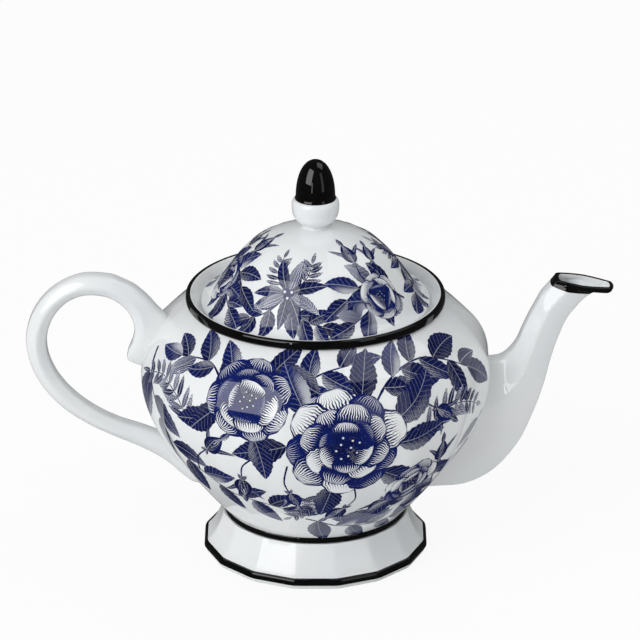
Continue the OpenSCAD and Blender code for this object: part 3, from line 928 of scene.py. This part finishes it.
    def flat_mesh(self, name):
        """The cut sheet as a flat mesh at [azimuth, elevation, layer]."""
        points, faces, cut, scale, bake = [], [], [], [], []
        places, page = self.page_places()
        for n, (patch, layer) in enumerate(zip(self.patches, self.layers())):
            rows, kind, width, length = patch["rows"], patch["kind"], patch["width"], patch["length"]
            base, last, wide = len(points), len(rows) - 1, len(rows[0]) - 1
            for i, row in enumerate(rows):
                for j, (azimuth, elevation) in enumerate(row):
                    s, t = 2 * j / wide - 1, i / last
                    edge = EDGES[kind](t, 0) if kind in EDGES else 1.0
                    points.append((near_azimuth(azimuth, rows[0][0][0]), elevation, layer))
                    cut.append((s, t, patch["tone"]))
                    scale.append((s * max(edge, 0.02) * width / 2, t * length, kind))
                    bake.append(((places[n][0] + t * length) / page,
                                 (places[n][1] + (s + 1) / 2 * width) / page, 0))
            for i in range(last):
                for j in range(wide):
                    a = base + i * (wide + 1) + j
                    corners = [a, a + 1, a + wide + 2, a + wide + 1]
                    faces.append(corners[::-1] if patch["flip"] else corners)
        mesh = bpy.data.meshes.new(name)
        mesh.from_pydata(points, [], faces)
        for title, values in (("cut", cut), ("scale", scale), ("bake_place", bake)):
            mesh.attributes.new(title, "FLOAT_VECTOR", "POINT").data.foreach_set(
                "vector", np.array(values, np.float32).ravel())
        obj = bpy.data.objects.new(name, mesh)
        scene.collection.objects.link(obj)
        return obj

    def layers(self):
        """The layer of each patch: one above the highest earlier patch that it crosses."""
        boxes, layers = [], []
        for patch in self.patches:
            spots = np.array([spot for row in patch["rows"] for spot in row])
            spots[:, 0] = near_azimuth(spots[:, 0], spots[0, 0])
            low, high = spots.min(axis=0), spots.max(axis=0)
            under = -1
            for (other_low, other_high), layer in zip(boxes, layers):
                turn = math.tau * round((low[0] - other_low[0]) / math.tau)
                apart = (low[0] > other_high[0] + turn or high[0] < other_low[0] + turn
                         or low[1] > other_high[1] or high[1] < other_low[1])
                under = under if apart else max(under, layer)
            boxes.append((low, high))
            layers.append(under + 1)
        return layers


ray_start, ray_length, glaze_within = 0.2, 0.3, 0.17


def lay_group():
    """Lays a flat sheet of angles on a pot. Along each pair of angles a ray comes in towards the pot's
    middle from ray_start away and meets the glaze before it has gone glaze_within, both in metres. What
    would miss the pot, land on its inside, touch the steam hole or lie above the high end is cut off."""
    group, tree, given = open_group("lay_transfer", {
        "Middle height": 0.07, "High end": 1.0, "Hole out": 1.0, "Hole radius": 0.002, "Lift": 0.00004,
        "Layer lift": 0.000004}, ["Pot"])
    fine = tree.node("GeometryNodeSubdivideMesh", values={"Mesh": given["Geometry"], "Level": 1})[0]
    azimuth, elevation, layer = tree.parts(tree.node("GeometryNodeInputPosition")[0])
    level = elevation.math("COSINE")
    way = tree.vector(level * azimuth.math("COSINE"), level * azimuth.math("SINE"), elevation.math("SINE"))
    middle = tree.vector(0.0, 0.0, given["Middle height"])
    far = tree.node("ShaderNodeVectorMath", {"operation": "MULTIPLY_ADD"},
                    {0: way, 1: (ray_start, ray_start, ray_start), 2: middle})[0]
    back = tree.node("ShaderNodeVectorMath", {"operation": "SCALE"}, {0: way, "Scale": -1.0})[0]
    pot = tree.node("GeometryNodeObjectInfo", {"transform_space": "ORIGINAL"}, {"Object": given["Pot"]})
    soft = tree.node("GeometryNodeInputNamedAttribute", {"data_type": "FLOAT_VECTOR"},
                     {"Name": "soft_normal"})[0]
    hit = tree.node("GeometryNodeRaycast", {"data_type": "FLOAT_VECTOR"},
                    {"Target Geometry": pot["Geometry"], "Attribute": soft, "Source Position": far,
                     "Ray Direction": back, "Ray Length": ray_length})
    hit_place, hit_normal = hit["Hit Position"], hit["Attribute"]
    x, y, z = tree.parts(hit_place)
    from_hole = (x * x + (y - given["Hole out"]).math("POWER", 2.0)).math("SQRT")
    outside = hit["Is Hit"] * (glaze_within - hit["Hit Distance"] > 0)
    outside = outside * (from_hole > given["Hole radius"]) * (given["High end"] - z > 0)
    fine = tree.node("GeometryNodeDeleteGeometry", {"domain": "POINT"},
                     {"Geometry": fine, "Selection": outside < 0.5})[0]
    lift = layer * given["Layer lift"] + given["Lift"]
    raised = tree.node("ShaderNodeVectorMath", {"operation": "SCALE"}, {0: hit_normal, "Scale": lift})[0]
    place = tree.node("ShaderNodeVectorMath", {"operation": "ADD"}, {0: hit_place, 1: raised})[0]
    kept = tree.node("GeometryNodeStoreNamedAttribute", {"data_type": "FLOAT_VECTOR", "domain": "POINT"},
                     {"Geometry": fine, "Name": "lay_normal", "Value": hit_normal})[0]
    shape = tree.node("GeometryNodeSetPosition", values={"Geometry": kept, "Position": place})[0]
    close_group(tree, given, shape)
    return group


lay_transfer = lay_group()


def point_vectors(mesh, name):
    values = np.zeros(len(mesh.vertices) * 3, np.float32)
    mesh.attributes[name].data.foreach_get("vector", values)
    return values.reshape(-1, 3)


hole_margin, no_hole = 0.3, 1000


def lay(sheet, name, pot, middle_z, high_z, body, hole_out=no_hole):
    """Lays a cut sheet on a pot, clear of a hole that lies hole_out behind its axis, shades it as the
    glaze under it and lets it ride on a body."""
    if "soft_normal" not in pot.data.attributes:
        soft = pot.data.attributes.new("soft_normal", "FLOAT_VECTOR", "POINT")
        soft.data.foreach_set("vector", np.array([v.normal for v in pot.data.vertices], np.float32).ravel())
    obj = sheet.flat_mesh(name)
    run_group(obj, lay_transfer, {"Pot": pot, "Middle height": middle_z * mm, "High end": high_z * mm,
                                  "Hole out": hole_out * mm, "Hole radius": (vent_d / 2 + hole_margin) * mm,
                                  "Material": print_ink})
    mesh = obj.data
    mesh.shade_smooth()
    corners = np.zeros(len(mesh.loops), np.int32)
    mesh.loops.foreach_get("vertex_index", corners)
    unwrapped = mesh.uv_layers.new(name="OFBake")
    unwrapped.data.foreach_set("uv", point_vectors(mesh, "bake_place")[corners, :2].ravel())
    normals = point_vectors(mesh, "lay_normal")
    mesh.normals_split_custom_set_from_vertices([tuple(n) for n in normals])
    for spare in ("bake_place", "lay_normal"):
        mesh.attributes.remove(mesh.attributes[spare])
    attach(obj, body)


leaf_vein_pitch, hatch_pitch = 2.5, 1.15
deep_blue, mid_blue = (0.0003, 0.0015, 0.028, 1), (0.005, 0.015, 0.14, 1)
print_ink, tree = material_tree("blue_print")
cut, scale = [tree.node("ShaderNodeAttribute", {"attribute_name": name})["Vector"]
              for name in ("cut", "scale")]
across, along, tone = tree.parts(cut)
width_mm, length_mm, kind = tree.parts(scale)
shake = tree.noise(420.0, 2.0) - 0.5
grain = tree.noise(1500.0, 1.0)
side = abs(across)
off_rib = abs(width_mm)

# Leaves: nearly solid, with a pale rib and veins and one half lit by fine hatching
rib = off_rib.ramp(0.06, 0.22, 1.0, 0.0)
vein = (length_mm - off_rib * 0.8 + shake * 0.8).stripes(leaf_vein_pitch).ramp(0.05, 0.18, 1.0, 0.0)
hatch = (length_mm + off_rib * 1.3 + shake).stripes(hatch_pitch)
lit = across.ramp(-0.1, 0.7) * along.ramp(0.35, 0.85, 1.0, 0.1) * (tone * 0.8 + 0.1)
leaf_ink = 1.0 - (rib * 0.4).higher(vein * 0.14).higher((lit - hatch * 0.95).ramp(-0.05, 0.25) * 0.65)
pale_light = side * 0.15 + along * 0.25 + tone * 0.3 - 0.2
pale_ink = 1.0 - (rib * 0.5).higher((pale_light - hatch * 0.85).ramp(-0.1, 0.15))
pale_ink = pale_ink.higher(side.ramp(0.82, 0.94) * 0.85)

# Petals and buds: fans of fine lines that close up in the heart and at the edge
fan = (across * 7.0 + shake * 1.4).stripes(1.0)
heart = along.ramp(0.45, 0.95, 1.25, 0.3)
petal_dark = heart.higher(side.ramp(0.5, 0.95)) + (tone - 0.4) * 0.9
petal_rim = side.ramp(0.90, 0.96).higher(along.ramp(0.955, 0.985))
petal_ink = (petal_dark - fan).ramp(-0.12, 0.14).higher(petal_rim)
bud_dark = side.ramp(0.1, 0.8, 0.75, 1.25) + (tone - 0.5) * 0.2
bud_ink = (bud_dark - (across * 4.0 + shake).stripes(1.0)).ramp(-0.12, 0.14)
berry_glint = (across + 0.25).math("POWER", 2.0) + (along - 0.62).math("POWER", 2.0) * 4.0
berry_ink = berry_glint.ramp(0.05, 0.2, 0.1, 1.0)

# Stems are solid; each kind of motif then takes its own ink
ink = 1.0
for motif, motif_ink in ((LEAF, leaf_ink), (PALE_LEAF, pale_ink), (PETAL, petal_ink), (BUD, bud_ink),
                         (BERRY, berry_ink)):
    ink = ink + (motif_ink - ink) * (kind > motif - 0.5)
ink = ink * grain.ramp(0.22, 0.4, 0.9, 1.0)
lightness = grain.ramp(0.35, 0.75) * 0.35 + tone * 0.35 + along.ramp(0.0, 1.0) * 0.3
glaze(tree, tree.blend(ink, glaze_tint(tree), tree.blend(lightness, deep_blue, mid_blue)))


def garland(sheet):
    """The print on one side of the bowl, from the handle to the spout."""
    for points, leaves, size, first in (
            ([(-96, 30), (-84, 8), (-66, -14), (-42, -28), (-18, -34)], 10, 26, 0.15),
            ([(16, 10), (34, 32), (58, 38), (82, 26)], 8, 24, 0.3),
            ([(98, 0), (86, -22), (64, -36), (36, -42)], 8, 26, 0.1),
            ([(-34, 22), (-54, 36), (-74, 34)], 5, 19, 0.3),
            ([(-6, -44), (14, -52), (36, -56), (56, -56)], 5, 21, 0.15),
            ([(-10, 30), (2, 38), (18, 42)], 4, 18, 0.1)):
        sheet.branch(points, leaves, size, first)
    for points, leaflets, size in (
            ([(-58, 8), (-66, 18), (-78, 23), (-92, 20)], 9, 11),
            ([(46, 6), (60, 14), (72, 14), (86, 8)], 9, 11),
            ([(2, -20), (-2, -32), (-14, -42)], 7, 10)):
        sheet.fern(points, leaflets, size)
    for size, points in ((14, [(18, -16), (20, -26), (15, -33)]), (12, [(34, -12), (39, -22), (36, -31)]),
                         (14, [(-24, 2), (-33, -6), (-35, -15)]), (12, [(-12, -2), (-14, -12), (-12, -20)]),
                         (12, [(40, 32), (48, 22), (56, 16)]), (13, [(-62, -18), (-58, -8), (-50, -1)]),
                         (12, [(72, -34), (66, -22), (64, -12)])):
        sheet.bud(points, size)
    for x, y, heading, length in (
            (2, 30, 150, 27), (34, 16, 30, 28), (-12, 8, 200, 26), (30, -8, -30, 27), (8, -14, -100, 26),
            (-44, 14, 190, 22), (-22, 36, 60, 20), (20, 26, 75, 24), (-26, 10, -70, 22), (56, -20, 10, 20),
            (42, -32, -120, 20), (-40, 34, 120, 18), (36, 6, 0, 24), (-4, 22, 120, 24), (60, -32, -60, 18),
            (-42, 20, 215, 20)):
        sheet.strip(x, y, heading, length, length * 0.52, LEAF, chance.uniform(-25, 25), 8)
    for x, y, radius, petals, heading in ((-30, 25, 18, 7, 80), (50, -22, 15, 7, 20), (13, 7, 26, 9, 100)):
        sheet.blossom(x, y, radius, petals, heading)


def lid_spray(sheet, has_blossom):
    """One spray of the print on the lid, round a blossom or round a star."""
    if has_blossom:
        sheet.branch([(-21, -10), (-8, 0), (6, 3), (18, -2)], 7, 18, 0.1, 0.1)
        sheet.branch([(-4, -2), (6, -8), (17, -13)], 4, 16, 0.1, 0.1)
        sheet.bud([(0, 1), (4, 8), (4, 14)], 11)
        sheet.bud([(-8, 0), (-9, 7), (-13, 12)], 9)
        sheet.blossom(-4, -4, 11.5, 6, 90)
    else:
        sheet.fern([(2, 2), (10, 9), (13, 16)], 6, 9)
        sheet.fern([(-6, 4), (-12, 10), (-13, 17)], 5, 8)
        sheet.branch([(1, -3), (9, -10), (19, -13)], 5, 15, 0.2, 0.1)
        sheet.branch([(-4, -2), (-11, -9), (-19, -13)], 4, 15, 0.2, 0.2)
        sheet.star(-1, 1, 16, 8, 80)


bowl_middle_z, bowl_sheet_r = 72, 74
lid_middle_z, lid_sheet_r = 100, 50
for side_name, azimuth, flip in (("front", -90, False), ("back", 90, True)):
    sheet = Sheet(bowl_sheet_r, azimuth, 0, flip)
    garland(sheet)
    lay(sheet, "bowl_print_" + side_name, bowl, bowl_middle_z, rim_z - 1.5, "pot")

sheet = Sheet(lid_sheet_r)
spray_count, first_azimuth, spray_elevation = 6, -108, 41
for k in range(spray_count):
    place = sheet.moved(first_azimuth + 360 / spray_count * k, spray_elevation, k % 3 == 1)
    lid_spray(place, has_blossom=k % 2 == 1)
lay(sheet, "lid_print", lid, lid_middle_z, lid_top_z, "lid", vent_out)

# The steam hole comes last, so that the sheet is laid on a whole lid
pierce(lid, [(0, vent_out, lid_top_z)], vent_d, vent_bore, Matrix.Identity(3))


# ---------- studio ----------
# A pale seamless table in an even white room, which the glaze mirrors only faintly. Daylight comes from
# a large window on the left, with weaker lamps above and on the right and a narrow strip for a glint. The
# camera sees the table as plain white, with a tenth of its real light and shadow.

floor_white = 0.965
room_light, room_in_glaze = 0.54, 0.05
table_white, table_plain = 0.9, 0.9
lamp_aim = Vector((0, 0, 0.08))

for name, place, size, power in (
        ("window", (-2.3, -2.3, 1.83), (2.7, 3.1), 79), ("ceiling", (0.9, 0.15, 1.75), (1.4, 1.2), 6.5),
        ("far_window", (1.3, -1.3, 0.6), (0.5, 1.5), 1.5), ("strip", (-0.52, -1.4, 0.2), (0.05, 0.5), 0.5)):
    light = bpy.data.objects.new(name, bpy.data.lights.new(name, "AREA"))
    light.data.shape = "RECTANGLE"
    light.data.size, light.data.size_y = size
    light.data.energy = power
    light.location = place
    light.rotation_euler = (lamp_aim - Vector(place)).to_track_quat("-Z", "Y").to_euler()
    scene.collection.objects.link(light)

world = bpy.data.worlds.new("white_room")
scene.world = world
world.use_nodes = True
tree = Tree(world.node_tree)
path = tree.node("ShaderNodeLightPath")
room = tree.node("ShaderNodeBackground", values={
    "Color": (0.97, 0.985, 1.0, 1),
    "Strength": path["Is Glossy Ray"].ramp(0.0, 1.0, room_light, room_in_glaze)})
seen = tree.node("ShaderNodeBackground", values={
    "Color": (floor_white, floor_white, floor_white, 1), "Strength": 1.0})
mixed = tree.node("ShaderNodeMixShader", values={0: path["Is Camera Ray"], 1: room[0], 2: seen[0]})
tree.node("ShaderNodeOutputWorld", values={"Surface": mixed[0]})

table_material, tree = material_tree("table")
seen_plain = tree.node("ShaderNodeLightPath")["Is Camera Ray"] * table_plain
lit = tree.node("ShaderNodeBsdfDiffuse", values={"Color": (table_white, table_white, table_white, 1)})
plain = tree.node("ShaderNodeEmission", values={"Color": (1, 1, 1, 1)})
mixed = tree.node("ShaderNodeMixShader", values={0: seen_plain, 1: lit[0], 2: plain[0]})
tree.node("ShaderNodeOutputMaterial", values={"Surface": mixed[0]})
table = mesh_object("table", [(-4, -4, 0), (4, -4, 0), (4, 4, 0), (-4, 4, 0)], [(0, 1, 2, 3)], table_material)
table.visible_glossy = False
